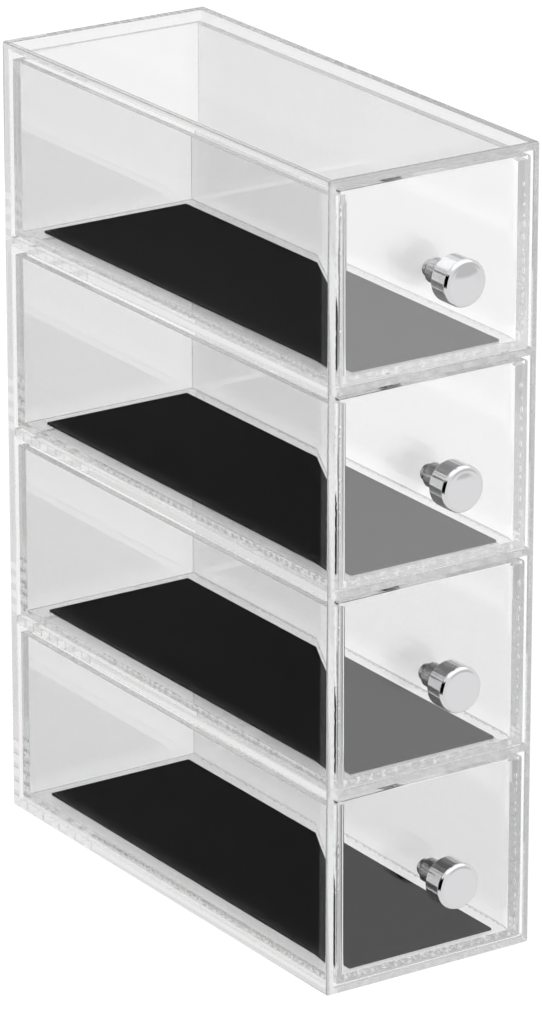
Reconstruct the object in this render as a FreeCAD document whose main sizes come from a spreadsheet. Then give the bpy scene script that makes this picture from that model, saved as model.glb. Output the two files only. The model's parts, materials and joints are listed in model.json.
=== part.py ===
"""Clear acrylic tower of four small drawers.

A narrow case of cemented sheets holds three shelves and four equal drawers.
Each drawer is a box of cemented sheets with a loose liner pad on its floor and a
turned metal knob, which a short screw holds through the front.

Frame: the origin is the centre of the case's underside, +Z is up, the drawer
fronts face -Y and the width runs along X.  All sizes are in millimetres.
"""
import FreeCAD
import Part
import math
import os

import Sketcher

App = FreeCAD
Vec = App.Vector

# Driving dimensions: alias, value in mm (or a plain count), what it is.
SIZES = [
    ("case_width", 76.0, "outside width of the case"),
    ("case_depth", 185.0, "outside depth of the case, without the knobs"),
    ("case_height", 260.0, "outside height of the case"),
    ("case_sheet", 2.5, "thickness of every sheet of the case"),
    ("drawer_count", 4.0, "number of drawers, one above the other"),
    ("corner_round", 1.8, "rounded upright corners of the case"),
    ("top_round", 1.0, "rounded upper rim of the case"),
    ("edge_round", 0.4, "polished edges of the case"),
    ("side_gap", 1.0, "gap between a drawer and each side of the case"),
    ("under_gap", 0.3, "gap between a drawer and the shelf under it"),
    ("over_gap", 1.0, "gap between a drawer front and the shelf over it"),
    ("rear_gap", 1.0, "gap between a drawer and the back of the case"),
    ("front_sheet", 3.0, "thickness of a drawer front"),
    ("wall_sheet", 2.5, "thickness of a drawer's sides and back"),
    ("floor_sheet", 2.0, "thickness of a drawer's floor"),
    ("wall_drop", 2.0, "how far the sides and back end below the front's top"),
    ("front_corner", 1.0, "rounded corners of a drawer front"),
    ("drawer_edge", 0.3, "polished edges of a drawer"),
    ("liner_thick", 0.8, "thickness of a liner pad"),
    ("liner_side", 5.2, "bare floor beside a liner"),
    ("liner_front", 2.6, "bare floor in front of a liner"),
    ("liner_rear", 5.0, "bare floor behind a liner"),
    ("liner_corner", 0.8, "rounded corners of a liner"),
    ("head_radius", 7.5, "knob head radius"),
    ("head_length", 8.4, "knob head length"),
    ("neck_radius", 4.0, "knob neck radius"),
    ("neck_length", 8.0, "knob neck length"),
    ("front_rim", 1.1, "rounded front rim of a knob head"),
    ("rear_rim", 0.6, "rounded rear rim of a knob head"),
    ("tapped_radius", 1.5, "radius of the tapped hole in a knob"),
    ("tapped_depth", 7.5, "depth of the tapped hole in a knob"),
    ("screw_hole_radius", 1.7, "radius of the screw hole in a drawer front"),
    ("shank_radius", 1.45, "screw shank radius"),
    ("shank_length", 9.0, "screw length under its head"),
    ("screw_head_radius", 2.8, "screw head radius"),
    ("screw_head_height", 1.9, "screw head height"),
    ("screw_head_round", 0.8, "rounded rim of a screw head"),
    ("recess_width", 0.7, "width of an arm of the cross recess"),
    ("recess_length", 2.8, "length of the cross recess"),
    ("recess_depth", 1.1, "depth of the cross recess"),
]

# What follows from them: alias, formula, what it is.
DERIVED = [
    ("side_height", "=case_height - 2 * case_sheet", "height of the case's sides"),
    ("inner_width", "=case_width - 2 * case_sheet", "width inside the case"),
    ("inner_depth", "=case_depth - case_sheet", "depth inside the case"),
    ("pitch", "=(case_height - case_sheet) / drawer_count", "from one drawer to the next"),
    ("front_plane", "=-case_depth / 2", "where the drawer fronts stand"),
    ("drawer_width", "=inner_width - 2 * side_gap", "outside width of a drawer"),
    ("drawer_depth", "=inner_depth - rear_gap", "outside depth of a drawer"),
    ("front_height", "=pitch - case_sheet - under_gap - over_gap", "height of a drawer front"),
    ("wall_height", "=front_height - wall_drop", "height of a drawer's sides and back"),
    ("wall_length", "=drawer_depth - front_sheet", "length of a drawer's sides"),
    ("floor_width", "=drawer_width - 2 * wall_sheet", "width inside a drawer"),
    ("floor_length", "=wall_length - wall_sheet", "depth inside a drawer"),
    ("liner_width", "=floor_width - 2 * liner_side", "width of a liner pad"),
    ("liner_length", "=floor_length - liner_front - liner_rear", "length of a liner pad"),
    ("floor_front", "=front_plane + front_sheet", "inner face of a drawer front"),
]

NEAR = 1e-3     # lengths closer than this are the same
LEAST_CUT = 0.1     # mm3: a cut that takes less than this has failed
SKETCH_HALF = 5.0     # a sketch is drawn about this size; its constraints then set the real one

doc = App.newDocument("drawer_tower")


def make_sizes():
    """The spreadsheet that holds the driving dimensions and what follows from them."""
    cells = doc.addObject("Spreadsheet::Sheet", "Sizes")
    for row, (alias, content, meaning) in enumerate(SIZES + DERIVED, start=1):
        cells.set("A%d" % row, alias)
        cells.set("B%d" % row, str(content))
        cells.setAlias("B%d" % row, alias)
        cells.set("C%d" % row, meaning)
    doc.recompute()
    return cells


sizes = make_sizes()


def size(alias):
    """Present value of a cell, for picking edges."""
    return float(sizes.get(alias))


def bind(thing, prop, formula):
    """Bind a property to the spreadsheet; the names in the formula are aliases."""
    words = formula.replace("(", " ( ").replace(")", " ) ").split()
    bound = ["Sizes." + word if word[0].isalpha() else word for word in words]
    thing.setExpression(prop, " ".join(bound))


def new_body(name):
    """An empty body whose label is the name of its node."""
    body = doc.addObject("PartDesign::Body", name)
    body.Label = name
    return body


def place(body, x, y, z):
    """Bind the place of a body's own origin to the spreadsheet."""
    for axis, formula in zip("xyz", (x, y, z)):
        bind(body, "Placement.Base.%s" % axis, formula)


def new_sketch(body, name, role):
    """A sketch on one of the body's own origin planes."""
    sketch = body.newObject("Sketcher::SketchObject", body.Name + "_" + name)
    plane = [item for item in body.Origin.OriginFeatures if item.Role == role][0]
    sketch.AttachmentSupport = [(plane, "")]
    sketch.MapMode = "FlatFace"
    return sketch


def draw_rectangle(sketch, width, length):
    """A rectangle centred on the sketch's origin, with its two sizes bound."""
    half = SKETCH_HALF
    corners = [Vec(-half, -half, 0), Vec(half, -half, 0), Vec(half, half, 0), Vec(-half, half, 0)]
    for start, end in zip(corners, corners[1:] + corners[:1]):
        sketch.addGeometry(Part.LineSegment(start, end), False)
    for side in range(4):
        sketch.addConstraint(Sketcher.Constraint("Coincident", side, 2, (side + 1) % 4, 1))
    for side, kind in enumerate(("Horizontal", "Vertical", "Horizontal", "Vertical")):
        sketch.addConstraint(Sketcher.Constraint(kind, side))
    sketch.addConstraint(Sketcher.Constraint("Symmetric", 0, 1, 2, 1, -1, 1))
    across = sketch.addConstraint(Sketcher.Constraint("DistanceX", 0, 1, 0, 2, 2 * half))
    along = sketch.addConstraint(Sketcher.Constraint("DistanceY", 1, 1, 1, 2, 2 * half))
    bind(sketch, "Constraints[%d]" % across, width)
    bind(sketch, "Constraints[%d]" % along, length)


def pad_sketch(body, sketch, height):
    """Pad a sketch upwards by a bound height."""
    pad = body.newObject("PartDesign::Pad", body.Name + "_pad")
    pad.Profile = sketch
    bind(pad, "Length", height)
    sketch.Visibility = False
    doc.recompute()
    return pad


def round_edges(body, name, radius, wanted):
    """Round the edges that the test picks; it is given an edge's box centre and its lengths."""
    base = body.Tip
    picked = []
    for number, edge in enumerate(base.Shape.Edges, start=1):
        box = edge.BoundBox
        if wanted(box.Center, Vec(box.XLength, box.YLength, box.ZLength)):
            picked.append("Edge%d" % number)
    if not picked:
        raise RuntimeError("no edge to round on " + body.Name)
    fillet = body.newObject("PartDesign::Fillet", body.Name + "_" + name)
    fillet.Base = (base, picked)
    bind(fillet, "Radius", radius)
    doc.recompute()
    return fillet


def sheet(name, width, length, height, x, y, z):
    """A flat sheet: a centred rectangle padded upwards from its place."""
    body = new_body(name)
    sketch = new_sketch(body, "outline", "XY_Plane")
    draw_rectangle(sketch, width, length)
    pad_sketch(body, sketch, height)
    place(body, x, y, z)
    return body


def is_upright(span):
    return span.x < NEAR and span.y < NEAR


def make_cover(name, z, level, radius):
    """The top or the bottom: it covers the ends of the sides; its outer rim is rounded."""
    body = sheet(name, "case_width", "case_depth", "case_sheet", "0", "0", z)
    round_edges(body, "corners", "corner_round", lambda mid, span: is_upright(span))
    round_edges(body, "rim", radius, lambda mid, span: abs(mid.z - level) < NEAR and span.z < NEAR)
    return body


def make_side(name, direction):
    """A side of the case, between the top and the bottom; its upright edges are rounded."""
    place_x = "( case_width - case_sheet ) / 2"
    if direction < 0:
        place_x = "( case_sheet - case_width ) / 2"
    body = sheet(name, "case_sheet", "case_depth", "side_height", place_x, "0", "case_sheet")
    outer = direction * size("case_sheet") / 2
    front = -size("case_depth") / 2
    round_edges(
        body, "corners", "corner_round",
        lambda mid, span: is_upright(span) and abs(mid.x - outer) < NEAR)
    round_edges(
        body, "inner_edge", "edge_round",
        lambda mid, span: is_upright(span) and abs(mid.x + outer) < NEAR and abs(mid.y - front) < NEAR)
    return body


def make_shelf(number):
    """A shelf under one of the upper drawers; its front edge is polished."""
    body = sheet(
        "shelf_%d" % number, "inner_width", "inner_depth", "case_sheet",
        "0", "-1 * case_sheet / 2", "%d * pitch" % number)
    front = -size("inner_depth") / 2
    round_edges(
        body, "edges", "edge_round",
        lambda mid, span: span.x > NEAR and abs(mid.y - front) < NEAR)
    return body


def make_case():
    """The fixed case: a cover at each end, two sides, the back and the shelves."""
    rear = "( case_depth - case_sheet ) / 2"
    nodes = [
        make_cover("case_top", "case_height - case_sheet", size("case_sheet"), "top_round"),
        make_cover("case_bottom", "0", 0.0, "edge_round"),
        make_side("case_left_side", -1),
        make_side("case_right_side", 1),
        sheet("case_back", "inner_width", "case_sheet", "side_height", "0", rear, "case_sheet"),
    ]
    return nodes + [make_shelf(number) for number in range(1, int(size("drawer_count")))]


def make_front(name, base):
    """A drawer front: rounded corners, polished rim and the hole for the knob's screw."""
    body = sheet(
        name, "drawer_width", "front_sheet", "front_height",
        "0", "front_plane + front_sheet / 2", base)
    half_width = size("drawer_width") / 2
    outer = -size("front_sheet") / 2
    round_edges(
        body, "corners", "front_corner",
        lambda mid, span: span.y > NEAR and abs(mid.x) > half_width - NEAR)
    round_edges(body, "rim", "drawer_edge", lambda mid, span: abs(mid.y - outer) < NEAR)
    volume = body.Shape.Volume
    hole_radius = size("screw_hole_radius")
    hole_height = size("front_height") / 2
    sketch = new_sketch(body, "screw_hole", "XZ_Plane")
    sketch.addGeometry(Part.Circle(Vec(0, hole_height, 0), Vec(0, 0, 1), hole_radius), False)
    radius = sketch.addConstraint(Sketcher.Constraint("Radius", 0, hole_radius))
    height = sketch.addConstraint(Sketcher.Constraint("DistanceY", -1, 1, 0, 3, hole_height))
    sketch.addConstraint(Sketcher.Constraint("PointOnObject", 0, 3, -2))
    bind(sketch, "Constraints[%d]" % radius, "screw_hole_radius")
    bind(sketch, "Constraints[%d]" % height, "front_height / 2")
    hole = body.newObject("PartDesign::Pocket", name + "_hole")
    hole.Profile = sketch
    hole.Type = "ThroughAll"
    hole.Midplane = True
    sketch.Visibility = False
    doc.recompute()
    expected = math.pi * hole_radius ** 2 * size("front_sheet")
    if abs(volume - body.Shape.Volume - expected) > LEAST_CUT:
        raise RuntimeError("the screw hole of %s didn't go through" % name)
    return body


def make_wall(name, direction, base):
    """A side of a drawer, from the front's inner face to the rear, with a polished top."""
    place_x = "( drawer_width - wall_sheet ) / 2"
    if direction < 0:
        place_x = "( wall_sheet - drawer_width ) / 2"
    body = sheet(
        name, "wall_sheet", "wall_length", "wall_height",
        place_x, "floor_front + wall_length / 2", base)
    top = size("wall_height")
    rear = size("wall_length") / 2
    outer = direction * size("wall_sheet") / 2
    round_edges(
        body, "top", "drawer_edge",
        lambda mid, span: span.y > size("wall_sheet") and abs(mid.z - top) < NEAR)
    round_edges(
        body, "rear", "drawer_edge",
        lambda mid, span: is_upright(span) and abs(mid.y - rear) < NEAR and abs(mid.x - outer) < NEAR)
    return body


def make_rear_wall(name, base):
    """The back of a drawer, between its sides, with a polished top."""
    body = sheet(
        name, "floor_width", "wall_sheet", "wall_height",
        "0", "floor_front + floor_length + wall_sheet / 2", base)
    top = size("wall_height")
    round_edges(
        body, "top", "drawer_edge",
        lambda mid, span: span.x > size("wall_sheet") and abs(mid.z - top) < NEAR)
    return body


def make_liner(name, base):
    """A thin pad that lies on the floor of a drawer, a little short of its walls."""
    body = sheet(
        name, "liner_width", "liner_length", "liner_thick",
        "0", "floor_front + liner_front + liner_length / 2", base + " + floor_sheet")
    round_edges(body, "corners", "liner_corner", lambda mid, span: is_upright(span))
    return body


def turn_profile(body, name, points):
    """Turn a closed profile round the Y axis.

    Each point is a pair of formulas: how far it stands out along -Y, and its radius.
    """
    sketch = new_sketch(body, name, "YZ_Plane")
    values = [tuple(evaluate(formula) for formula in point) for point in points]
    corners = [Vec(-out, radius, 0) for out, radius in values]
    for start, end in zip(corners, corners[1:] + corners[:1]):
        sketch.addGeometry(Part.LineSegment(start, end), False)
    count = len(points)
    for side in range(count):
        sketch.addConstraint(Sketcher.Constraint("Coincident", side, 2, (side + 1) % count, 1))
    for side in range(count):
        out, radius = points[side]
        bind_coordinate(sketch, "DistanceX", side, -values[side][0], "-1 * ( %s )" % out)
        bind_coordinate(sketch, "DistanceY", side, values[side][1], radius)
    turned = body.newObject("PartDesign::Revolution", body.Name + "_turned")
    turned.Profile = sketch
    turned.ReferenceAxis = (sketch, ["H_Axis"])
    turned.Angle = 360.0
    sketch.Visibility = False
    doc.recompute()
    return turned


def bind_coordinate(sketch, kind, side, value, formula):
    """Bind one coordinate of a line's start; a zero coordinate puts it on that axis."""
    if abs(value) < NEAR:
        axis = -2 if kind == "DistanceX" else -1
        sketch.addConstraint(Sketcher.Constraint("PointOnObject", side, 1, axis))
        return
    index = sketch.addConstraint(Sketcher.Constraint(kind, -1, 1, side, 1, value))
    bind(sketch, "Constraints[%d]" % index, formula)


def evaluate(formula):
    """Value of a sum of aliases and numbers, such as "neck_length + head_length"."""
    total = 0.0
    sign = 1.0
    for word in formula.split():
        if word in "+-":
            sign = 1.0 if word == "+" else -1.0
            continue
        total += sign * (size(word) if word[0].isalpha() else float(word))
    return total


def knob_height(base):
    return base + " + front_height / 2"


def make_knob(name, base):
    """A turned knob: a neck, a larger head with a rounded rim and a tapped blind hole."""
    body = new_body(name)
    whole = "neck_length + head_length"
    turn_profile(body, "profile", [
        ("0", "tapped_radius"),
        ("0", "neck_radius"),
        ("neck_length", "neck_radius"),
        ("neck_length", "head_radius"),
        (whole, "head_radius"),
        (whole, "0"),
        ("tapped_depth", "0"),
        ("tapped_depth", "tapped_radius"),
    ])
    front = -evaluate(whole)
    rear = -size("neck_length")
    full = 2 * size("head_radius") - NEAR
    round_edges(
        body, "front_rim", "front_rim",
        lambda mid, span: abs(mid.y - front) < NEAR and span.y < NEAR and span.x > full)
    round_edges(
        body, "rear_rim", "rear_rim",
        lambda mid, span: abs(mid.y - rear) < NEAR and span.y < NEAR and span.x > full)
    place(body, "0", "front_plane", knob_height(base))
    return body


def make_screw(name, base):
    """A pan-head screw from inside the drawer: its head bears on the front's inner face."""
    body = new_body(name)
    turn_profile(body, "profile", [
        ("0 - screw_head_height", "0"),
        ("0 - screw_head_height", "screw_head_radius"),
        ("0", "screw_head_radius"),
        ("0", "shank_radius"),
        ("shank_length", "shank_radius"),
        ("shank_length", "0"),
    ])
    crown = size("screw_head_height")
    round_edges(
        body, "crown", "screw_head_round",
        lambda mid, span: abs(mid.y - crown) < NEAR and span.y < NEAR and span.x > NEAR)
    cut_recess(body, "recess_upright", "recess_width", "recess_length")
    cut_recess(body, "recess_level", "recess_length", "recess_width")
    place(body, "0", "floor_front", knob_height(base))
    return body


def cut_recess(body, name, width, length):
    """One arm of the cross recess, cut into the crown of the screw head."""
    volume = body.Shape.Volume
    sketch = new_sketch(body, name, "XZ_Plane")
    sketch.AttachmentOffset = App.Placement(Vec(0, 0, -size("screw_head_height")), App.Rotation())
    sketch.setExpression("AttachmentOffset.Base.z", "-1 * Sizes.screw_head_height")
    draw_rectangle(sketch, width, length)
    cut = body.newObject("PartDesign::Pocket", body.Name + "_" + name)
    cut.Profile = sketch
    cut.Reversed = False
    bind(cut, "Length", "recess_depth")
    sketch.Visibility = False
    doc.recompute()
    if body.Shape.Volume > volume - LEAST_CUT:
        cut.Reversed = True
        doc.recompute()
    if body.Shape.Volume > volume - LEAST_CUT:
        raise RuntimeError("the recess of %s cut nothing" % body.Name)


def make_drawer(number):
    """The pieces of one drawer; number 1 is the lowest."""
    name = "drawer_%d_" % number
    base = "%d * pitch + case_sheet + under_gap" % (number - 1)
    floor_mid = "floor_front + floor_length / 2"
    return [
        make_front(name + "front", base),
        make_rear_wall(name + "back", base),
        make_wall(name + "left_side", -1, base),
        make_wall(name + "right_side", 1, base),
        sheet(name + "floor", "floor_width", "floor_length", "floor_sheet", "0", floor_mid, base),
        make_liner(name + "liner", base),
        make_knob(name + "knob", base),
        make_screw(name + "screw", base),
    ]


def check_model(nodes):
    """Stop if any object failed, or any sub-part isn't one sound solid."""
    for thing in doc.Objects:
        if "Invalid" in thing.State or "Error" in thing.State:
            raise RuntimeError("%s is %s" % (thing.Label, thing.State))
    for body in nodes:
        shape = body.Shape
        if shape.isNull() or not shape.isValid() or len(shape.Solids) != 1:
            raise RuntimeError("%s has no sound solid" % body.Label)


def main():
    nodes = make_case()
    for number in range(1, int(size("drawer_count")) + 1):
        nodes += make_drawer(number)
    doc.recompute()
    check_model(nodes)
    os.makedirs("parts", exist_ok=True)
    for body in nodes:
        body.Shape.exportStep("parts/%s.step" % body.Label)
    print("wrote %d sub-parts" % len(nodes))


main()
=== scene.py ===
"""Clear drawer tower: the looks of an acrylic tower with four small drawers.

The frame holds every piece at its real size and place.  This add-on models the
visible bodies round it: the cemented case, the cemented trays of the drawers, the
liner pads and the turned knobs, each with its own procedural finish, and a plain
white stage.  Everything is in metres, with the drawer fronts facing -Y.
"""
import json
import math
import random

import bpy
from bpy.props import FloatProperty, FloatVectorProperty, IntProperty, PointerProperty
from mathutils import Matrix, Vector

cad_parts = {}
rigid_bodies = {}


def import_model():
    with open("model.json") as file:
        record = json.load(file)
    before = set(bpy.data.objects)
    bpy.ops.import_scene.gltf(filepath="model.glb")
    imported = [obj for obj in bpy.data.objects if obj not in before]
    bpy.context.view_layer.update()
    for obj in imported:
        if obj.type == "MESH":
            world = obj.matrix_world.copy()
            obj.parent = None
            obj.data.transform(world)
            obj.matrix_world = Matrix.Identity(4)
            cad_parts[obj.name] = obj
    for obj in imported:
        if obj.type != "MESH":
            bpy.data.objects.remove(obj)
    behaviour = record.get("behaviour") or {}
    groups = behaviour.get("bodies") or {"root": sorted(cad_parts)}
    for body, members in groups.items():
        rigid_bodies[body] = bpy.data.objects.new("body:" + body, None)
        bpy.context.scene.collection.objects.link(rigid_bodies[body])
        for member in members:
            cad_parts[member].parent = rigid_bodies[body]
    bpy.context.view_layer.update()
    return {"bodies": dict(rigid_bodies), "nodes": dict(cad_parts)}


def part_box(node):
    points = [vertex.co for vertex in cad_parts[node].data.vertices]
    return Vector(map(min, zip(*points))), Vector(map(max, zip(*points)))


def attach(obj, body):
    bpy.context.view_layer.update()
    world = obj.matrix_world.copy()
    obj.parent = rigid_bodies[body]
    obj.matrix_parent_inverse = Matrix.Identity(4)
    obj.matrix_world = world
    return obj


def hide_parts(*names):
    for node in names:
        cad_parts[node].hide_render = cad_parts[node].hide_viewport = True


bl_info = {
    "name": "Clear drawer tower",
    "version": (1, 0, 0),
    "blender": (4, 5, 0),
    "location": "3D View > Sidebar > Drawers",
    "description": "Models the clear bodies, pads and knobs of a drawer tower round its frame",
    "category": "Object",
}

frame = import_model()
DRAWERS = sorted(body for body in frame["bodies"] if body.startswith("drawer_"))
SHELVES = sorted(node for node in frame["nodes"] if node.startswith("shelf_"))
CASE_SHEETS = ["case_top", "case_bottom", "case_left_side", "case_right_side", "case_back"]
TRAY_SHEETS = ["front", "left_side", "right_side", "back", "floor"]
CASE_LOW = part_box("case_bottom")[0]
CASE_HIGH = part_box("case_top")[1]
MM = 0.001
NEAR = 0.02 * MM
OVERSHOOT = 5 * MM
DOUBLES = 0.0055 * MM
SMOOTH_BELOW = math.radians(40)
# Attributes of the faces that the materials read.
CUT = "cut_edge"
# The coat's strength, full on the top front and none on the lowest, is a painted reflection.
COAT = "hard_coat"
# The front shade attribute greys the colour of the lowest fronts: painted shade.
PAINTED_SHADE = "front_shade"
TURNED = "turned"
# A ray's glossy depth is over the first once it was mirrored, over the second once it is guided.
MIRRORED = 0.5
GUIDED = 2.5
BOUNCES = 256
# The front rim keeps this share of its width, so that it ends short of the dome.
RIM_SHARE = 0.9
RIM_REACH = 0.1 * MM


# ---------------------------------------------------------------- settings


class AcrylicSettings(bpy.types.PropertyGroup):
    """Sizes and finish of the clear sheets."""

    refraction: FloatProperty(
        name="Refraction", description="Index of refraction of cast acrylic", default=1.49, min=1.0)
    bay_round: FloatProperty(
        name="Bay corner", description="Cement fillet in the corners of a bay",
        default=0.25 * MM, unit="LENGTH")
    tray_round: FloatProperty(
        name="Tray corner", description="Rounded inner uprights at the back of a tray",
        default=0.4 * MM, unit="LENGTH")
    fillet: FloatProperty(
        name="Front fillet", description="Cement fillet behind a front, across the front",
        default=1.2 * MM, unit="LENGTH")
    fillet_length: FloatProperty(
        name="Front fillet length", description="Cement fillet behind a front, along the side walls",
        default=8.0 * MM, unit="LENGTH")
    floor_round: FloatProperty(
        name="Tray floor corner", description="Fillet where a tray's walls meet its floor",
        default=0.4 * MM, unit="LENGTH")
    upright_round: FloatProperty(
        name="Case corner", description="Rounded upright corners of the case",
        default=1.0 * MM, unit="LENGTH")
    rim_round: FloatProperty(
        name="Top rim", description="Rounded upper rim of the case", default=1.0 * MM, unit="LENGTH")
    front_round: FloatProperty(
        name="Front corner", description="Rounded corners of a drawer front",
        default=1.0 * MM, unit="LENGTH")
    polish: FloatProperty(
        name="Polished edge", description="Small flat that polishing leaves on every edge",
        default=0.35 * MM, unit="LENGTH")
    segments: IntProperty(
        name="Segments", description="Faces across a rounded corner", default=6, min=1)
    polish_segments: IntProperty(
        name="Polish segments", description="Faces across a polished flat", default=3, min=1)
    screw_hole: FloatProperty(
        name="Screw hole", description="Radius of the hole in a front, wider than the shank",
        default=1.7 * MM, unit="LENGTH")
    # Painted shade: the lowest fronts are greyed in their base colour.
    front_shade: FloatProperty(
        name="Front shade", description="What the greyest front lets through at its face",
        default=0.78, min=0.0, max=1.0)
    bubble: FloatProperty(
        name="Bubble", description="Half the length of the largest bubble in a cement joint",
        default=1.4 * MM, unit="LENGTH")
    bubble_width: FloatProperty(
        name="Bubble width", description="The most that half a bubble's width is, inside a sheet",
        default=0.65 * MM, unit="LENGTH")
    bubble_depth: FloatProperty(
        name="Bubble depth", description="Half the thickness of a bubble",
        default=0.40 * MM, unit="LENGTH")
    bubble_spacing: FloatProperty(
        name="Bubble spacing", description="The most that two bubbles are apart",
        default=3.0 * MM, unit="LENGTH")
    bubble_wander: FloatProperty(
        name="Bubble wander", description="How far a bubble lies off the middle of its joint",
        default=0.25 * MM, unit="LENGTH")
    tint: FloatVectorProperty(
        name="Tint", description="Colour that the sheet keeps along its length",
        default=(0.60, 0.62, 0.61), subtype="COLOR")
    depth_of_tint: FloatProperty(
        name="Tint density", description="How soon the tint shows in a long sheet", default=1.5)
    # Painted reflection: the coat on the fronts is strongest on the top drawer and fades downwards,
    # standing in for the brighter reflection on the upper fronts.
    coat: FloatProperty(
        name="Hard coat", description="Index of refraction of the hard coat on the fronts",
        default=2.45, min=1.0)
    coat_falloff: FloatProperty(
        name="Coat falloff", description="How soon the coat fades from the top drawer down",
        default=1.45, min=0.0)
    # Painted shade, counted in fronts from the bottom.
    shaded_fronts: IntProperty(
        name="Shaded fronts", description="How many of the lower fronts are grey", default=2, min=1)
    coat_haze: FloatProperty(
        name="Coat haze", description="Roughness of the hard coat", default=0.3, min=0.0, max=1.0)
    saw_mark: FloatProperty(
        name="Edge waves", description="Length of the waves that sawing leaves on a cut edge",
        default=2.0 * MM, unit="LENGTH")
    saw_depth: FloatProperty(
        name="Edge wave depth", description="Depth of the waves on a cut edge",
        default=0.08 * MM, unit="LENGTH")
    cut_roughness: FloatProperty(
        name="Cut edge roughness", description="How matt the sawn edges stay after polishing",
        default=0.10, min=0.0, max=1.0)


class LinerSettings(bpy.types.PropertyGroup):
    """Sizes and finish of the liner pads."""

    colour: FloatVectorProperty(
        name="Colour", description="Black foam", default=(0.006, 0.006, 0.0065), subtype="COLOR")
    backing: FloatVectorProperty(
        name="Backing", description="Pale paper under the foam", default=(0.62, 0.62, 0.60),
        subtype="COLOR")
    corner: FloatProperty(
        name="Corner", description="Rounded corners of a pad", default=0.3 * MM, unit="LENGTH")
    corner_segments: IntProperty(
        name="Corner segments", description="Faces across a rounded corner", default=4, min=1)
    edge: FloatProperty(
        name="Edge", description="Crushed edge of a die-cut pad", default=0.2 * MM, unit="LENGTH")
    edge_segments: IntProperty(
        name="Edge segments", description="Faces across the crushed edge", default=3, min=1)
    lift: FloatProperty(
        name="Air gap", description="Air that stays between a pad and the floor under it",
        default=0.05 * MM, unit="LENGTH")
    cell: FloatProperty(
        name="Foam cell", description="Size of the foam's cells", default=0.5 * MM, unit="LENGTH")
    grain: FloatProperty(
        name="Grain", description="How strongly the cells show", default=0.15, min=0.0, max=1.0)
    worn: FloatProperty(
        name="Worn patches", description="How many worn patches lie along a metre", default=60.0)
    roughness: FloatProperty(
        name="Roughness", description="How matt the foam is", default=0.85, min=0.0, max=1.0)
    shine: FloatProperty(
        name="Shine", description="Specular level of the foam", default=0.15, min=0.0, max=1.0)


class KnobSettings(bpy.types.PropertyGroup):
    """Sizes and finish of the knobs and of their screws."""

    colour: FloatVectorProperty(
        name="Colour", description="Bright chrome", default=(0.66, 0.66, 0.67), subtype="COLOR")
    roughness: FloatProperty(
        name="Roughness", description="How matt the chrome is", default=0.03, min=0.0, max=1.0)
    screw_colour: FloatVectorProperty(
        name="Screw colour", description="Plated steel", default=(0.55, 0.55, 0.56),
        subtype="COLOR")
    screw_roughness: FloatProperty(
        name="Screw roughness", description="How matt the steel is", default=0.25, min=0.0, max=1.0)
    neck: FloatProperty(
        name="Neck", description="Radius of the neck", default=4.0 * MM, unit="LENGTH")
    neck_length: FloatProperty(
        name="Neck length", description="From the drawer's front to the head",
        default=8.0 * MM, unit="LENGTH")
    dome: FloatProperty(
        name="Dome", description="How far the face of the head stands out at its centre",
        default=0.22 * MM, unit="LENGTH")
    front_rim: FloatProperty(
        name="Front rim", description="Rounded front rim of the head", default=1.7 * MM, unit="LENGTH")
    front_rim_segments: IntProperty(
        name="Front rim segments", description="Faces across the front rim", default=6, min=1)
    rear_rim: FloatProperty(
        name="Rear rim", description="Rounded rear rim of the head", default=0.6 * MM, unit="LENGTH")
    rear_rim_segments: IntProperty(
        name="Rear rim segments", description="Faces across the rear rim", default=4, min=1)
    dome_rings: IntProperty(
        name="Dome rings", description="Rings of faces across the domed face", default=6, min=2)
    groove: FloatProperty(
        name="Neck groove", description="Width of the grooves along the neck",
        default=0.45 * MM, unit="LENGTH")
    smear: FloatProperty(
        name="Smear", description="Size of the dull spots in the polish", default=2.5 * MM,
        unit="LENGTH")
    tapping: FloatProperty(
        name="Tapped hole", description="Radius of the hole for the screw", default=1.52 * MM,
        unit="LENGTH")
    tapping_depth: FloatProperty(
        name="Tapped depth", description="Depth of the hole for the screw", default=7.5 * MM,
        unit="LENGTH")
    sides: IntProperty(name="Sides", description="Faces round a knob", default=96, min=12)


class StageSettings(bpy.types.PropertyGroup):
    """Camera, floor and light."""

    azimuth: FloatProperty(
        name="Azimuth", description="Turn of the camera to the drawers' left",
        default=math.radians(-33.52), subtype="ANGLE")
    elevation: FloatProperty(
        name="Elevation", description="Height of the camera above the horizon",
        default=math.radians(19.82), subtype="ANGLE")
    distance: FloatProperty(
        name="Distance", description="From the camera to the point that it looks at",
        default=1.942, unit="LENGTH")
    aim: FloatVectorProperty(
        name="Aim", description="The point that the camera looks at",
        default=(0.00052, -0.00333, 0.1231), subtype="XYZ", unit="LENGTH")
    lens: FloatProperty(
        name="Lens", description="Focal length in millimetres", default=217.6)
    sensor: FloatProperty(
        name="Sensor", description="Width of the sensor in millimetres", default=36.0)
    floor_size: FloatProperty(
        name="Floor", description="Width of the floor", default=6.0, unit="LENGTH")
    floor_gap: FloatProperty(
        name="Floor gap", description="How far the floor lies under the case",
        default=0.3 * MM, unit="LENGTH")
    floor_glow: FloatProperty(
        name="Floor glow", description="Strength of the floor's own light", default=1.15)
    floor_matt: FloatProperty(
        name="Matt share", description="Share of the floor that takes shadows", default=0.16,
        min=0.0, max=1.0)
    floor_white: FloatProperty(
        name="Floor white", description="What the matt share reflects", default=0.95,
        min=0.0, max=1.0)
    straight_light: FloatProperty(
        name="Straight light", description="Strength of the white seen straight through a sheet",
        default=0.96, min=0.0)
    table_light: FloatProperty(
        name="Table light", description="Strength of the light table in front", default=1.05,
        min=0.0)


# ---------------------------------------------------------------- modelling helpers


def only(piece):
    """Select one piece alone and make it the active one."""
    bpy.ops.object.select_all(action="DESELECT")
    piece.select_set(True)
    bpy.context.view_layer.objects.active = piece


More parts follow.
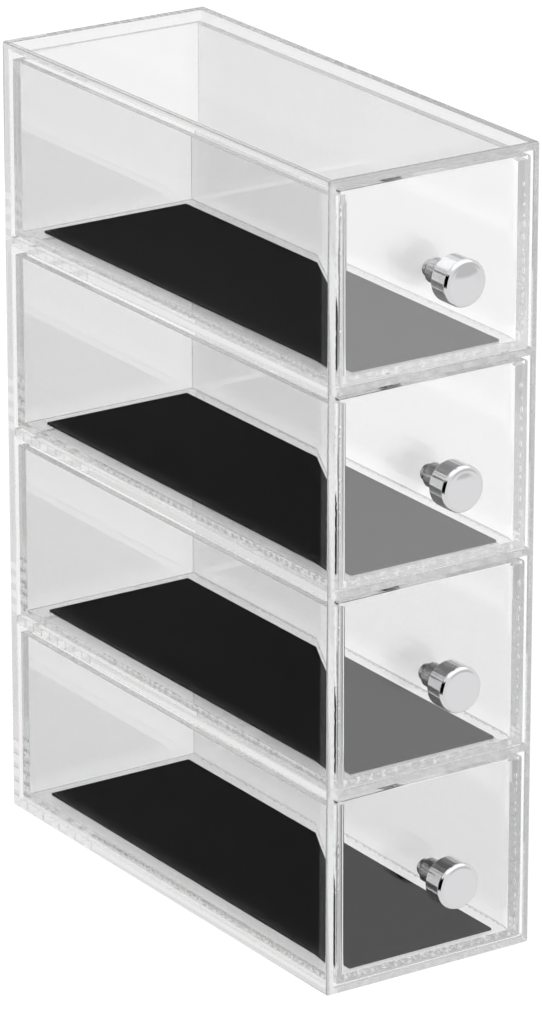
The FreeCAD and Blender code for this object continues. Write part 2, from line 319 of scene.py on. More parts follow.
def settle(piece, name):
    """Name a new piece and put its place, turn and size into its mesh."""
    only(piece)
    bpy.ops.object.transform_apply(location=True, rotation=True, scale=True)
    piece.name = name
    piece.data.name = name
    return piece


def add_block(name, low, high):
    """A cube primitive at the size and place of a box."""
    low, high = Vector(low), Vector(high)
    bpy.ops.mesh.primitive_cube_add(size=1, location=(low + high) / 2)
    piece = bpy.context.object
    piece.scale = high - low
    return settle(piece, name)


def pick(piece, kind, test):
    """Select the vertices, edges or faces of a piece whose middle and direction pass a test."""
    only(piece)
    bpy.ops.object.mode_set(mode="EDIT")
    bpy.ops.mesh.select_mode(type=kind)
    bpy.ops.mesh.select_all(action="DESELECT")
    bpy.ops.object.mode_set(mode="OBJECT")
    mesh = piece.data
    count = 0
    if kind == "EDGE":
        for edge in mesh.edges:
            start, end = (mesh.vertices[index].co for index in edge.vertices)
            edge.select = test((start + end) / 2, end - start)
            count += edge.select
    else:
        for face in mesh.polygons:
            face.select = test(face.center, face.normal)
            count += face.select
    if not count:
        raise RuntimeError("nothing to select on " + piece.name)
    bpy.ops.object.mode_set(mode="EDIT")


def leave():
    """Back to object mode."""
    bpy.ops.object.mode_set(mode="OBJECT")


def round_edges(piece, width, segments, test):
    """Round the edges whose middle and direction pass a test."""
    pick(piece, "EDGE", test)
    bpy.ops.mesh.bevel(offset=width, segments=segments, affect="EDGES", clamp_overlap=False)
    leave()


def flare(piece, way, width, centre, size):
    """Draw the picked face of a cutter out: first flared by a small width, then straight on."""
    bpy.ops.mesh.extrude_region_move(TRANSFORM_OT_translate={"value": way * width})
    spread = [1.0 if abs(step) > 0.5 else 1 + 2 * width / extent for step, extent in zip(way, size)]
    bpy.ops.transform.resize(value=spread, center_override=centre)
    bpy.ops.mesh.extrude_region_move(TRANSFORM_OT_translate={"value": way * OVERSHOOT})
    leave()


def stretch_along(piece, factor):
    """Stretch a piece along Y from the world's origin."""
    only(piece)
    bpy.ops.object.mode_set(mode="EDIT")
    bpy.ops.mesh.select_all(action="SELECT")
    bpy.ops.transform.resize(value=(1, factor, 1), center_override=(0, 0, 0))
    leave()


def split_across(piece, place):
    """Split the faces that run past a plane across Y, so that each side can have its own finish."""
    only(piece)
    bpy.ops.object.mode_set(mode="EDIT")
    bpy.ops.mesh.select_all(action="SELECT")
    bpy.ops.mesh.bisect(plane_co=place, plane_no=(0, 1, 0))
    leave()


def cut_away(piece, cutter):
    """Cut one piece out of another; the cutter is used up."""
    only(piece)
    cut = piece.modifiers.new("cut", "BOOLEAN")
    cut.operation = "DIFFERENCE"
    cut.solver = "EXACT"
    cut.object = cutter
    bpy.ops.object.modifier_apply(modifier=cut.name)
    only(cutter)
    bpy.ops.object.delete()


def finish_mesh(piece):
    """Merge doubles, smooth the rounds and keep the flats flat."""
    only(piece)
    bpy.ops.object.mode_set(mode="EDIT")
    bpy.ops.mesh.select_all(action="SELECT")
    bpy.ops.mesh.remove_doubles(threshold=DOUBLES)
    leave()
    bpy.ops.object.shade_smooth_by_angle(angle=SMOOTH_BELOW)
    flats = piece.modifiers.new("flats", "WEIGHTED_NORMAL")
    flats.keep_sharp = True
    flats.weight = 100
    bpy.ops.object.modifier_apply(modifier=flats.name)


def along(direction, axis):
    """Does an edge run along one axis?"""
    others = [abs(direction[index]) for index in range(3) if index != axis]
    return abs(direction[axis]) > NEAR and max(others) < NEAR


# ---------------------------------------------------------------- materials


def new_material(name):
    """An empty node material with its output."""
    material = bpy.data.materials.new(name)
    material.use_nodes = True
    tree = material.node_tree
    tree.nodes.clear()
    return material, tree


def add_node(tree, kind, **values):
    """A node with its properties set."""
    node = tree.nodes.new(kind)
    for key, value in values.items():
        setattr(node, key, value)
    return node


def acrylic_material(name, coat=0.0):
    """Clear acrylic with a faint tint along the sheet; cut edges stay wavy and a little matt.

    Attributes of the mesh say which faces are cut edges, and on a coated piece how strong
    the coat is, a painted reflection that fades down the drawers, and how grey the front is,
    a painted shade.  The coat only acts on light from outside.
    """
    settings = bpy.context.scene.tower_acrylic
    material, tree = new_material(name)
    shader = add_node(tree, "ShaderNodeBsdfPrincipled")
    shader.inputs["Base Color"].default_value = (1.0, 1.0, 1.0, 1.0)
    shader.inputs["Transmission Weight"].default_value = 1.0
    shader.inputs["IOR"].default_value = settings.refraction
    cut = add_node(tree, "ShaderNodeAttribute", attribute_name=CUT)
    matt = add_node(tree, "ShaderNodeMath", operation="MULTIPLY")
    tree.links.new(cut.outputs["Fac"], matt.inputs[0])
    matt.inputs[1].default_value = settings.cut_roughness
    tree.links.new(matt.outputs[0], shader.inputs["Roughness"])
    place = add_node(tree, "ShaderNodeTexCoord")
    waves = add_node(tree, "ShaderNodeTexNoise")
    waves.inputs["Scale"].default_value = 1 / settings.saw_mark
    waves.inputs["Detail"].default_value = 2.0
    tree.links.new(place.outputs["Object"], waves.inputs["Vector"])
    height = add_node(tree, "ShaderNodeMath", operation="MULTIPLY")
    tree.links.new(waves.outputs["Fac"], height.inputs[0])
    tree.links.new(cut.outputs["Fac"], height.inputs[1])
    uneven = add_node(tree, "ShaderNodeBump")
    uneven.inputs["Strength"].default_value = 1.0
    uneven.inputs["Distance"].default_value = settings.saw_depth
    tree.links.new(height.outputs[0], uneven.inputs["Height"])
    tree.links.new(uneven.outputs["Normal"], shader.inputs["Normal"])
    if coat:
        # Painted reflection: the coat weight comes from a mesh attribute that falls from the top front
        # down.
        hard = add_node(tree, "ShaderNodeAttribute", attribute_name=COAT)
        side = add_node(tree, "ShaderNodeNewGeometry")
        outside = add_node(tree, "ShaderNodeMath", operation="SUBTRACT", use_clamp=True)
        tree.links.new(hard.outputs["Fac"], outside.inputs[0])
        tree.links.new(side.outputs["Backfacing"], outside.inputs[1])
        tree.links.new(outside.outputs[0], shader.inputs["Coat Weight"])
        # Painted shade: the base colour of the lower fronts is mixed towards grey.
        shaded = add_node(tree, "ShaderNodeAttribute", attribute_name=PAINTED_SHADE)
        colour = add_node(tree, "ShaderNodeMix", data_type="RGBA")
        colour.inputs["A"].default_value = (1.0, 1.0, 1.0, 1.0)
        grey = settings.front_shade
        colour.inputs["B"].default_value = (grey, grey, grey, 1.0)
        tree.links.new(shaded.outputs["Fac"], colour.inputs["Factor"])
        tree.links.new(colour.outputs["Result"], shader.inputs["Base Color"])
        shader.inputs["Coat IOR"].default_value = coat
        shader.inputs["Coat Roughness"].default_value = settings.coat_haze
    tint = add_node(tree, "ShaderNodeVolumeAbsorption")
    tint.inputs["Color"].default_value = (*settings.tint, 1.0)
    tint.inputs["Density"].default_value = settings.depth_of_tint
    output = add_node(tree, "ShaderNodeOutputMaterial")
    tree.links.new(shader.outputs[0], output.inputs["Surface"])
    tree.links.new(tint.outputs[0], output.inputs["Volume"])
    return material


def liner_material(name, colour):
    """Foam with a fine open cell, from a darker to a lighter shade in worn patches."""
    darker, lighter = 0.75, 1.35
    settings = bpy.context.scene.tower_liner
    material, tree = new_material(name)
    place = add_node(tree, "ShaderNodeTexCoord")
    cells = add_node(tree, "ShaderNodeTexVoronoi", feature="F1")
    cells.inputs["Scale"].default_value = 1 / settings.cell
    tree.links.new(place.outputs["Object"], cells.inputs["Vector"])
    wear_and_painted_dimming = add_node(tree, "ShaderNodeTexNoise")
    wear_and_painted_dimming.inputs["Scale"].default_value = settings.worn
    wear_and_painted_dimming.inputs["Detail"].default_value = 3.0
    tree.links.new(place.outputs["Object"], wear_and_painted_dimming.inputs["Vector"])
    shade = add_node(tree, "ShaderNodeMix", data_type="RGBA")
    shade.inputs["A"].default_value = (*(darker * value for value in colour), 1.0)
    shade.inputs["B"].default_value = (*(lighter * value for value in colour), 1.0)
    tree.links.new(wear_and_painted_dimming.outputs["Fac"], shade.inputs["Factor"])
    grain = add_node(tree, "ShaderNodeBump")
    grain.inputs["Strength"].default_value = settings.grain
    grain.inputs["Distance"].default_value = settings.cell / 3
    tree.links.new(cells.outputs["Distance"], grain.inputs["Height"])
    shader = add_node(tree, "ShaderNodeBsdfPrincipled")
    tree.links.new(shade.outputs["Result"], shader.inputs["Base Color"])
    tree.links.new(grain.outputs["Normal"], shader.inputs["Normal"])
    shader.inputs["Roughness"].default_value = settings.roughness
    shader.inputs["Specular IOR Level"].default_value = settings.shine
    output = add_node(tree, "ShaderNodeOutputMaterial")
    tree.links.new(shader.outputs[0], output.inputs["Surface"])
    return material


def metal_material(name, colour, roughness):
    """Bright metal with uneven polish, and fine grooves along the faces marked as turned, whose colour
    is darkened as painted shade.
    """
    brightest, dullest = 0.6, 1.8
    groove_stretch = 0.08
    painted_groove_shade = 0.2
    settings = bpy.context.scene.tower_knob
    material, tree = new_material(name)
    shader = add_node(tree, "ShaderNodeBsdfPrincipled")
    shader.inputs["Metallic"].default_value = 1.0
    place = add_node(tree, "ShaderNodeTexCoord")
    smears = add_node(tree, "ShaderNodeTexNoise")
    smears.inputs["Scale"].default_value = 1 / settings.smear
    smears.inputs["Detail"].default_value = 3.0
    tree.links.new(place.outputs["Object"], smears.inputs["Vector"])
    polish = add_node(tree, "ShaderNodeMapRange")
    polish.inputs["To Min"].default_value = brightest * roughness
    polish.inputs["To Max"].default_value = dullest * roughness
    tree.links.new(smears.outputs["Fac"], polish.inputs["Value"])
    tree.links.new(polish.outputs[0], shader.inputs["Roughness"])
    lengthwise = add_node(tree, "ShaderNodeMapping")
    lengthwise.inputs["Scale"].default_value = (1.0, groove_stretch, 1.0)
    tree.links.new(place.outputs["Object"], lengthwise.inputs["Vector"])
    grooves = add_node(tree, "ShaderNodeTexNoise")
    grooves.inputs["Scale"].default_value = 1 / settings.groove
    grooves.inputs["Detail"].default_value = 1.0
    tree.links.new(lengthwise.outputs[0], grooves.inputs["Vector"])
    turned = add_node(tree, "ShaderNodeAttribute", attribute_name=TURNED)
    height = add_node(tree, "ShaderNodeMath", operation="MULTIPLY")
    tree.links.new(grooves.outputs["Fac"], height.inputs[0])
    tree.links.new(turned.outputs["Fac"], height.inputs[1])
    # Painted shade: the base colour darkens in the grooves.
    shade = add_node(tree, "ShaderNodeMix", data_type="RGBA")
    shade.inputs["A"].default_value = (*colour, 1.0)
    shade.inputs["B"].default_value = (*(painted_groove_shade * value for value in colour), 1.0)
    tree.links.new(height.outputs[0], shade.inputs["Factor"])
    tree.links.new(shade.outputs["Result"], shader.inputs["Base Color"])
    ridges = add_node(tree, "ShaderNodeBump")
    ridges.inputs["Strength"].default_value = 1.0
    ridges.inputs["Distance"].default_value = settings.groove / 2
    tree.links.new(height.outputs[0], ridges.inputs["Height"])
    tree.links.new(ridges.outputs["Normal"], shader.inputs["Normal"])
    output = add_node(tree, "ShaderNodeOutputMaterial")
    tree.links.new(shader.outputs[0], output.inputs["Surface"])
    return material


def dress(piece, *materials):
    """Give a piece its materials, the first one on every face."""
    piece.data.materials.clear()
    for material in materials:
        piece.data.materials.append(material)


def mark_faces(piece, name, test, value=1.0):
    """Mark the faces whose middle and normal pass a test, for the material to read."""
    marks = piece.data.attributes.new(name, "FLOAT", "FACE")
    for mark, face in zip(marks.data, piece.data.polygons):
        mark.value = value * test(face.center, face.normal)


# ---------------------------------------------------------------- pieces


def add_bubbles(piece, joints, seed):
    """Add the flat air bubbles that stay in the cement of a piece's joints.

    A joint is its two ends and the axis across it.  A bubble is a closed hollow inside the
    piece, so its faces point into it.
    """
    sizes = bpy.context.scene.tower_acrylic
    shortest, longest = 0.35, 1.0
    closest, furthest = 0.05, 0.8
    slimness = 0.6
    chance = random.Random(seed)
    spots = []
    for start, end, across in joints:
        length = (end - start).length
        run = (end - start) / length
        reached = sizes.bubble_spacing
        while True:
            half = sizes.bubble * chance.uniform(shortest, longest)
            centre = reached + sizes.bubble_spacing * chance.uniform(closest, furthest) + half
            if centre + half > length - sizes.bubble_spacing:
                break
            reached = centre + half
            width = min(slimness * half, sizes.bubble_width)
            extent = [half if abs(step) > 0.5 else width for step in run]
            extent[across] = sizes.bubble_depth
            aside = Vector(0.0 if abs(step) > 0.5 else 1.0 for step in run)
            aside[across] = 0.0
            aside *= chance.uniform(-1, 1) * sizes.bubble_wander
            spots.append((start + run * centre + aside, extent))
    bpy.ops.mesh.primitive_uv_sphere_add(segments=12, ring_count=7, radius=1, location=(0, 0, 0))
    bubble = settle(bpy.context.object, "bubble")
    pick(bubble, "FACE", lambda mid, normal: True)
    bpy.ops.mesh.flip_normals()
    leave()
    copies = []
    for spot, extent in spots:
        other = bubble.copy()
        other.data = bubble.data.copy()
        other.location = spot
        other.scale = extent
        bpy.context.collection.objects.link(other)
        copies.append(other)
    only(bubble)
    bpy.ops.object.delete()
    only(piece)
    for other in copies:
        other.select_set(True)
    bpy.ops.object.join()


class TOWER_OT_case(bpy.types.Operator):
    """Model the case: one cemented body with a bay for each drawer"""

    bl_idname = "tower.case"
    bl_label = "Case"

    def execute(self, context):
        sizes = context.scene.tower_acrylic
        case = add_block("case_shell", CASE_LOW, CASE_HIGH)
        top, bottom = CASE_HIGH.z, CASE_LOW.z
        round_edges(case, sizes.upright_round, sizes.segments, lambda mid, way: along(way, 2))
        round_edges(
            case, sizes.rim_round, sizes.segments,
            lambda mid, way: abs(mid.z - top) < NEAR and abs(way.z) < NEAR)
        round_edges(
            case, sizes.polish, sizes.polish_segments,
            lambda mid, way: abs(mid.z - bottom) < NEAR and abs(way.z) < NEAR)
        for low, high in self.bays(sizes.polish):
            bay = add_block("bay", low, high)
            round_edges(
                bay, sizes.bay_round, sizes.segments,
                lambda mid, way: along(way, 1) or (abs(mid.y - high.y) < NEAR and along(way, 2)))
            pick(bay, "FACE", lambda mid, normal: normal.y < -0.9)
            flare(bay, Vector((0, -1, 0)), sizes.polish, (low + high) / 2, high - low)
            cut_away(case, bay)
        finish_mesh(case)
        dress(case, acrylic_material("clear_case"))
        front = CASE_LOW.y
        mark_faces(case, CUT, lambda mid, normal: mid.y < front + sizes.polish and normal.y < -0.5)
        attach(case, "case")
        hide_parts(*CASE_SHEETS, *SHELVES)
        return {"FINISHED"}

    def bays(self, polish):
        """Corners of each bay, from the sheets round it, up to its polished mouth."""
        inner_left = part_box("case_left_side")[1].x
        inner_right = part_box("case_right_side")[0].x
        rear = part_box("case_back")[0].y
        lids = [*SHELVES, "case_top"]
        floors = ["case_bottom", *SHELVES]
        for floor, lid in zip(floors, lids):
            yield (
                Vector((inner_left, CASE_LOW.y + polish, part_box(floor)[1].z)),
                Vector((inner_right, rear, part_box(lid)[0].z)),
            )


class TOWER_OT_trays(bpy.types.Operator):
    """Model the drawers: a cemented tray each, with a front that stands above its walls"""

    bl_idname = "tower.trays"
    bl_label = "Trays"

    def execute(self, context):
        sizes = context.scene.tower_acrylic
        clear = acrylic_material("clear_tray", coat=sizes.coat)
        for number, drawer in enumerate(DRAWERS):
            # Painted reflection: the coat is full on the top front and fades to none on the lowest.
            wear_and_painted_dimming = (1 - number / (len(DRAWERS) - 1)) ** sizes.coat_falloff
            # Painted shade: the lowest front is grey, the next one less, the others clear.
            shade = max(0.0, 1 - (number / sizes.shaded_fronts) ** 2)
            tray = self.make_tray(sizes, drawer)
            dress(tray, clear)
            face, front_rear = (corner.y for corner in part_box(drawer + "_front"))
            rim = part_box(drawer + "_left_side")[1].z
            mark_faces(
                tray, CUT,
                lambda mid, normal: mid.y < front_rear and abs(normal.y) < 0.5
                or mid.z > rim - NEAR and normal.z > 0.5)
            for name, value in ((COAT, 1 - wear_and_painted_dimming), (PAINTED_SHADE, shade)):
                mark_faces(
                    tray, name, lambda mid, normal: mid.y < face + NEAR and normal.y < -0.9, value)
            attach(tray, drawer)
            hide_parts(*[drawer + "_" + sheet for sheet in TRAY_SHEETS])
        return {"FINISHED"}

    def make_tray(self, sizes, drawer):
        """One tray, from a block: the step behind the front, the inside and the screw hole."""
        low, front_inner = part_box(drawer + "_front")
        high = Vector((front_inner.x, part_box(drawer + "_back")[1].y, front_inner.z))
        wall_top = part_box(drawer + "_left_side")[1].z
        floor_low, floor_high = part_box(drawer + "_floor")
        tray = add_block(drawer + "_tray", low, high)
        round_edges(tray, sizes.front_round, sizes.segments, lambda mid, way: along(way, 1))
        round_edges(
            tray, sizes.polish, sizes.polish_segments, lambda mid, way: abs(mid.y - low.y) < NEAR)
        step = add_block(
            "step",
            (low.x - OVERSHOOT, front_inner.y, wall_top),
            (high.x + OVERSHOOT, high.y + OVERSHOOT, high.z + OVERSHOOT))
        cut_away(tray, step)
        round_edges(
            tray, sizes.polish, sizes.polish_segments,
            lambda mid, way: abs(mid.z - wall_top) < NEAR and abs(way.z) < NEAR
            and mid.y > front_inner.y + NEAR)
        mouth = wall_top - sizes.polish
        inside = add_block(
            "inside", (floor_low.x, floor_low.y, floor_high.z), (floor_high.x, floor_high.y, mouth))
        self.round_uprights(inside, sizes, floor_low.y)
        round_edges(
            inside, sizes.floor_round, sizes.segments,
            lambda mid, way: abs(mid.z - floor_high.z) < NEAR and abs(way.z) < NEAR)
        pick(inside, "FACE", lambda mid, normal: normal.z > 0.9)
        front_edge = Vector(((low.x + high.x) / 2, floor_low.y, mouth))
        extent = Vector((floor_high.x - floor_low.x, 2 * (floor_high.y - floor_low.y), 1))
        flare(inside, Vector((0, 0, 1)), sizes.polish, front_edge, extent)
        cut_away(tray, inside)
        hole = self.add_hole(drawer, sizes.screw_hole, low.y, front_inner.y)
        cut_away(tray, hole)
        split_across(tray, front_inner)
        self.add_joint_bubbles(tray, drawer, floor_low, floor_high)
        finish_mesh(tray)
        return tray

    def add_joint_bubbles(self, tray, drawer, low, high):
        """Bubbles where the floor meets the front and the walls, and the walls the front."""
        middle = (low.z + high.z) / 2
        front_left = Vector((low.x, low.y, middle))
        front_right = Vector((high.x, low.y, middle))
        along_y = Vector((0, high.y - low.y, 0))
        joints = [
            (front_left, front_right, 1),
            (front_left, front_left + along_y, 0),
            (front_right, front_right + along_y, 0),
        ]
        outer_low, outer_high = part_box(drawer + "_left_side")[0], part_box(drawer + "_right_side")[1]
        for wall in ((low.x + outer_low.x) / 2, (high.x + outer_high.x) / 2):
            joints.append((Vector((wall, low.y, low.z)), Vector((wall, low.y, outer_high.z)), 1))
        add_bubbles(tray, joints, tray.name)

    def round_uprights(self, inside, sizes, front):
        """Cement fillets at the front, longer along the side walls; small rounds at the back."""
        stretch = sizes.fillet_length / sizes.fillet
        stretch_along(inside, 1 / stretch)
        round_edges(
            inside, sizes.fillet, 2 * sizes.segments,
            lambda mid, way: along(way, 2) and mid.y < front / stretch + NEAR)
        stretch_along(inside, stretch)
        round_edges(
            inside, sizes.tray_round, sizes.segments,
            lambda mid, way: along(way, 2) and mid.y > front + sizes.fillet_length + NEAR)

    def add_hole(self, drawer, radius, outer, inner):
        """Cutter for the screw hole, a little wider than the screw's shank."""
        low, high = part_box(drawer + "_knob")
        bpy.ops.mesh.primitive_cylinder_add(
            vertices=32, radius=radius, depth=inner - outer + 2 * OVERSHOOT,
            location=((low.x + high.x) / 2, (outer + inner) / 2, (low.z + high.z) / 2),
            rotation=(math.pi / 2, 0, 0))
        return settle(bpy.context.object, "hole")


class TOWER_OT_liners(bpy.types.Operator):
    """Model the liner pads: thin black foam, cut to lie loose on each floor"""

    bl_idname = "tower.liners"
    bl_label = "Liner pads"

    def execute(self, context):
        sizes = context.scene.tower_liner
        foam = liner_material("black_foam", sizes.colour)
        backing = liner_material("pale_backing", sizes.backing)
        for drawer in DRAWERS:
            node = drawer + "_liner"
            low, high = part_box(node)
            pad = add_block(drawer + "_pad", low + Vector((0, 0, sizes.lift)), high)
            round_edges(pad, sizes.corner, sizes.corner_segments, lambda mid, way: along(way, 2))
            round_edges(
                pad, sizes.edge, sizes.edge_segments,
                lambda mid, way: abs(mid.z - high.z) < NEAR and abs(way.z) < NEAR)
            finish_mesh(pad)
            dress(pad, foam, backing)
            for face in pad.data.polygons:
                face.material_index = int(face.normal.z < -0.9)
            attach(pad, drawer)
            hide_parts(node)
        return {"FINISHED"}


class TOWER_OT_knobs(bpy.types.Operator):
    """Model the knobs: a neck, a larger head with rounded rims and a slightly domed face"""

    bl_idname = "tower.knobs"
    bl_label = "Knobs"

    def execute(self, context):
        settings = context.scene.tower_knob
        chrome = metal_material("bright_chrome", settings.colour, settings.roughness)
        for drawer in DRAWERS:
            knob = self.make_knob(settings, drawer)
            dress(knob, chrome)
            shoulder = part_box(drawer + "_knob")[1].y - settings.neck_length
            mark_faces(knob, TURNED, lambda mid, normal: mid.y > shoulder and abs(normal.y) < 0.5)
            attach(knob, drawer)
            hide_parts(drawer + "_knob")
        return {"FINISHED"}

    def make_knob(self, settings, drawer):
        """Turned from a cylinder: the end face is spread and drawn out into the head."""
        low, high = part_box(drawer + "_knob")
        radius = (high.x - low.x) / 2
        neck = settings.neck
        centre = Vector(((low.x + high.x) / 2, high.y, (low.z + high.z) / 2))
        bpy.ops.mesh.primitive_cylinder_add(
            vertices=settings.sides, radius=neck, depth=settings.neck_length,
            location=centre - Vector((0, settings.neck_length / 2, 0)),
            rotation=(math.pi / 2, 0, 0))
        knob = settle(bpy.context.object, drawer + "_pull")
        end = high.y - settings.neck_length
        face = low.y + settings.dome
        pick(knob, "FACE", lambda mid, normal: normal.y > 0.9 and abs(mid.y - high.y) < NEAR)
        self.draw_out(centre, 0.0, settings.tapping / neck)
        self.draw_out(centre, settings.tapping_depth, 1.0)
        leave()
        pick(knob, "FACE", lambda mid, normal: normal.y < -0.9 and abs(mid.y - end) < NEAR)
        self.draw_out(centre, 0.0, radius / neck)
        self.draw_out(centre, end - face, 1.0)
        self.draw_dome(settings, centre, radius)
        leave()
        self.round_rim(
            knob, centre, radius, face, RIM_SHARE * settings.front_rim, settings.front_rim_segments)
        self.round_rim(knob, centre, radius, end, settings.rear_rim, settings.rear_rim_segments)
        finish_mesh(knob)
        return knob

    def draw_dome(self, settings, centre, radius):
        """Rings of faces from the front rim to the middle of the face, each a little further out."""
        flat = radius - settings.front_rim
        previous_reach, previous_rise = radius, 0.0
        for ring in range(settings.dome_rings):
            share = 1 - ring / settings.dome_rings
            reach, rise = flat * share, settings.dome * (1 - share ** 2)
            self.draw_out(centre, rise - previous_rise, reach / previous_reach)
            previous_reach, previous_rise = reach, rise

    def round_rim(self, knob, centre, radius, level, width, segments):
        """Round the head's rim at one level of its axis."""
        round_edges(
            knob, width, segments,
            lambda mid, way: abs(mid.y - level) < NEAR and abs(way.y) < NEAR
            and abs(self.reach(centre, mid) - radius) < RIM_REACH)

    def draw_out(self, centre, length, scale):
        """Extrude the picked face forward and spread or narrow it about the axis."""
        bpy.ops.mesh.extrude_region_move(TRANSFORM_OT_translate={"value": (0, -length, 0)})
        bpy.ops.transform.resize(value=(scale, 1, scale), center_override=centre)

    def reach(self, centre, point):
        """Distance from the knob's axis."""
        return math.hypot(point.x - centre.x, point.z - centre.z)


class TOWER_OT_screws(bpy.types.Operator):
    """Finish the screws that hold the knobs"""

    bl_idname = "tower.screws"
    bl_label = "Screws"

    def execute(self, context):
        settings = context.scene.tower_knob
        steel = metal_material("plated_steel", settings.screw_colour, settings.screw_roughness)
        for drawer in DRAWERS:
            dress(frame["nodes"][drawer + "_screw"], steel)
        return {"FINISHED"}


# ---------------------------------------------------------------- stage


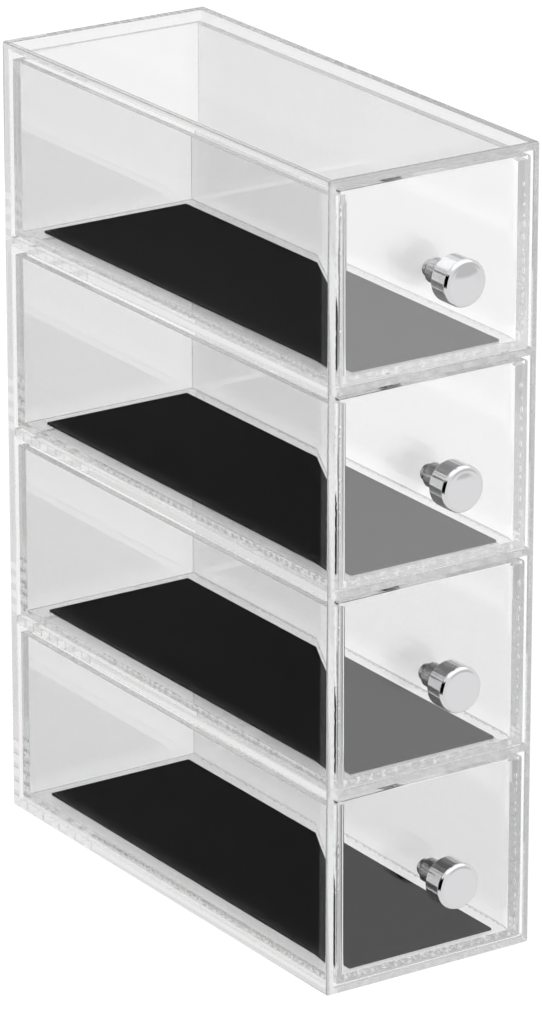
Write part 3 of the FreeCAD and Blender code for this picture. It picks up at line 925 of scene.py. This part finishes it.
class TOWER_OT_stage(bpy.types.Operator):
    """Set the stage: a white floor and surroundings, soft light and the camera"""

    bl_idname = "tower.stage"
    bl_label = "Stage"

    def execute(self, context):
        scene = context.scene
        settings = scene.tower_stage
        self.add_camera(scene, settings)
        self.add_floor(settings)
        self.add_surroundings(scene, settings)
        scene.view_settings.view_transform = "Standard"
        scene.cycles.max_bounces = BOUNCES
        scene.cycles.transmission_bounces = BOUNCES
        scene.cycles.glossy_bounces = BOUNCES
        scene.cycles.diffuse_bounces = 3
        return {"FINISHED"}

    def add_camera(self, scene, settings):
        """A long lens, from the left and a little above."""
        turn, rise = settings.azimuth, settings.elevation
        back = Vector((
            math.sin(turn) * math.cos(rise), -math.cos(turn) * math.cos(rise), math.sin(rise)))
        bpy.ops.object.camera_add(location=Vector(settings.aim) + back * settings.distance)
        camera = bpy.context.object
        camera.rotation_euler = back.to_track_quat("Z", "Y").to_euler()
        camera.data.sensor_width = settings.sensor
        camera.data.lens = settings.lens
        scene.camera = camera

    def add_floor(self, settings):
        """Just under the case, so that no faces coincide; mirrored light passes through it."""
        bpy.ops.mesh.primitive_plane_add(
            size=settings.floor_size, location=(0, 0, CASE_LOW.z - settings.floor_gap))
        floor = settle(bpy.context.object, "floor")
        material, tree = new_material("white_floor")
        white = add_node(tree, "ShaderNodeEmission")
        white.inputs["Color"].default_value = (1, 1, 1, 1)
        white.inputs["Strength"].default_value = settings.floor_glow
        matt = add_node(tree, "ShaderNodeBsdfDiffuse")
        matt.inputs["Color"].default_value = (*[settings.floor_white] * 3, 1)
        blend = add_node(tree, "ShaderNodeMixShader")
        blend.inputs[0].default_value = settings.floor_matt
        tree.links.new(white.outputs[0], blend.inputs[1])
        tree.links.new(matt.outputs[0], blend.inputs[2])
        through = add_node(tree, "ShaderNodeBsdfTransparent")
        path = add_node(tree, "ShaderNodeLightPath")
        mirrored = add_node(tree, "ShaderNodeMath", operation="GREATER_THAN")
        mirrored.inputs[1].default_value = MIRRORED
        tree.links.new(path.outputs["Glossy Depth"], mirrored.inputs[0])
        choice = add_node(tree, "ShaderNodeMixShader")
        tree.links.new(mirrored.outputs[0], choice.inputs[0])
        tree.links.new(blend.outputs[0], choice.inputs[1])
        tree.links.new(through.outputs[0], choice.inputs[2])
        output = add_node(tree, "ShaderNodeOutputMaterial")
        tree.links.new(choice.outputs[0], output.inputs["Surface"])
        dress(floor, material)

    def add_surroundings(self, scene, settings):
        """White straight through the sheets; a studio with a dark side where they mirror it.

        Light that the sheets guide along themselves sees a softer room than a mirrored ray.
        """
        world = bpy.data.worlds.new("studio")
        scene.world = world
        world.use_nodes = True
        tree = world.node_tree
        tree.nodes.clear()
        path = add_node(tree, "ShaderNodeLightPath")
        place = add_node(tree, "ShaderNodeTexCoord")

        def patch(direction, inner, outer, low, high):
            """low within the inner angle of a direction, high beyond the outer one, in degrees."""
            near = add_node(tree, "ShaderNodeVectorMath", operation="DOT_PRODUCT")
            near.inputs[1].default_value = Vector(direction).normalized()
            tree.links.new(place.outputs["Generated"], near.inputs[0])
            fade = add_node(tree, "ShaderNodeMapRange", interpolation_type="SMOOTHSTEP")
            fade.inputs["From Min"].default_value = math.cos(math.radians(outer))
            fade.inputs["From Max"].default_value = math.cos(math.radians(inner))
            fade.inputs["To Min"].default_value = high
            fade.inputs["To Max"].default_value = low
            tree.links.new(near.outputs["Value"], fade.inputs["Value"])
            return fade.outputs[0]

        def combine(operation, first, second):
            """Two numbers or sockets put together."""
            node = add_node(tree, "ShaderNodeMath", operation=operation)
            for socket, value in zip(node.inputs, (first, second)):
                if isinstance(value, float):
                    socket.default_value = value
                else:
                    tree.links.new(value, socket)
            return node.outputs[0]

        def choose(factor, first, second):
            """The first value where the factor is 0, the second where it is 1."""
            node = add_node(tree, "ShaderNodeMix", data_type="FLOAT")
            for socket, value in zip(node.inputs[:1] + node.inputs[2:4], (factor, first, second)):
                if isinstance(value, float):
                    socket.default_value = value
                else:
                    tree.links.new(value, socket)
            return node.outputs[0]

        rear_left = patch((-0.52, 0.784, -0.339), 8, 13, 0.02, 1.0)
        left = patch((-0.87, -0.42, 0.08), 25, 28, 0.0, 1.0)
        left_behind = patch((-0.92, 0.22, 0.10), 25, 28, 0.0, 1.0)
        softbox = patch((-0.10, 0.74, 0.58), 14, 22, 1.6, 1.0)
        upper_left = patch((-0.56, 0.784, 0.283), 2.2, 3.4, 0.0, 1.0)
        rear_wall = patch((0.52, 0.784, 0.34), 5, 9, 0.65, 1.0)
        overhead = patch((0.2, -0.3, 1.0), 40, 50, 1.5, 1.0)
        front_wall = patch((0.52, -0.784, 0.08), 19, 20.5, 0.74, 1.0)
        table = patch((0.52, -0.784, -0.50), 12.5, 14, 1.0, 0.0)
        towards_left = patch((-1, 0, 0), 65, 85, 0.58, 0.95)
        upwards = patch((0, 0, 1), 70, 92, 1.03, 0.90)
        within = combine("MULTIPLY", towards_left, upwards)
        studio = choose(table, 1.0, settings.table_light)
        dark_side = (rear_left, left, left_behind, upper_left)
        for shade in (softbox, *dark_side, rear_wall, overhead, front_wall):
            studio = combine("MULTIPLY", studio, shade)
        guided = combine("GREATER_THAN", path.outputs["Glossy Depth"], GUIDED)
        mirrored = combine("GREATER_THAN", path.outputs["Glossy Depth"], MIRRORED)
        strength = choose(mirrored, settings.straight_light, choose(guided, studio, within))
        strength = choose(path.outputs["Is Camera Ray"], strength, 1.0)
        light = add_node(tree, "ShaderNodeBackground")
        light.inputs["Color"].default_value = (1, 1, 1, 1)
        tree.links.new(strength, light.inputs["Strength"])
        output = add_node(tree, "ShaderNodeOutputWorld")
        tree.links.new(light.outputs[0], output.inputs["Surface"])


class TOWER_PT_panel(bpy.types.Panel):
    """The tower's pieces, in the order in which they are made"""

    bl_idname = "TOWER_PT_panel"
    bl_label = "Drawer tower"
    bl_space_type = "VIEW_3D"
    bl_region_type = "UI"
    bl_category = "Drawers"

    def draw(self, context):
        for group in SETTINGS:
            box = self.layout.box()
            owner = getattr(context.scene, group)
            for name in owner.bl_rna.properties.keys()[2:]:
                box.prop(owner, name)
        for operator in OPERATORS:
            self.layout.operator(operator.bl_idname)


SETTINGS = {
    "tower_acrylic": AcrylicSettings,
    "tower_liner": LinerSettings,
    "tower_knob": KnobSettings,
    "tower_stage": StageSettings,
}
OPERATORS = [
    TOWER_OT_case, TOWER_OT_trays, TOWER_OT_liners, TOWER_OT_knobs, TOWER_OT_screws, TOWER_OT_stage]


def register():
    """Add the settings, the operators and the panel to Blender."""
    for name, group in SETTINGS.items():
        bpy.utils.register_class(group)
        setattr(bpy.types.Scene, name, PointerProperty(type=group))
    for operator in OPERATORS:
        bpy.utils.register_class(operator)
    bpy.utils.register_class(TOWER_PT_panel)


def unregister():
    """Take them all out again."""
    bpy.utils.unregister_class(TOWER_PT_panel)
    for operator in reversed(OPERATORS):
        bpy.utils.unregister_class(operator)
    for name, group in SETTINGS.items():
        delattr(bpy.types.Scene, name)
        bpy.utils.unregister_class(group)


def main():
    """Model the tower and its stage."""
    register()
    bpy.ops.tower.case()
    bpy.ops.tower.trays()
    bpy.ops.tower.liners()
    bpy.ops.tower.knobs()
    bpy.ops.tower.screws()
    bpy.ops.tower.stage()


if __name__ == "__main__":
    main()
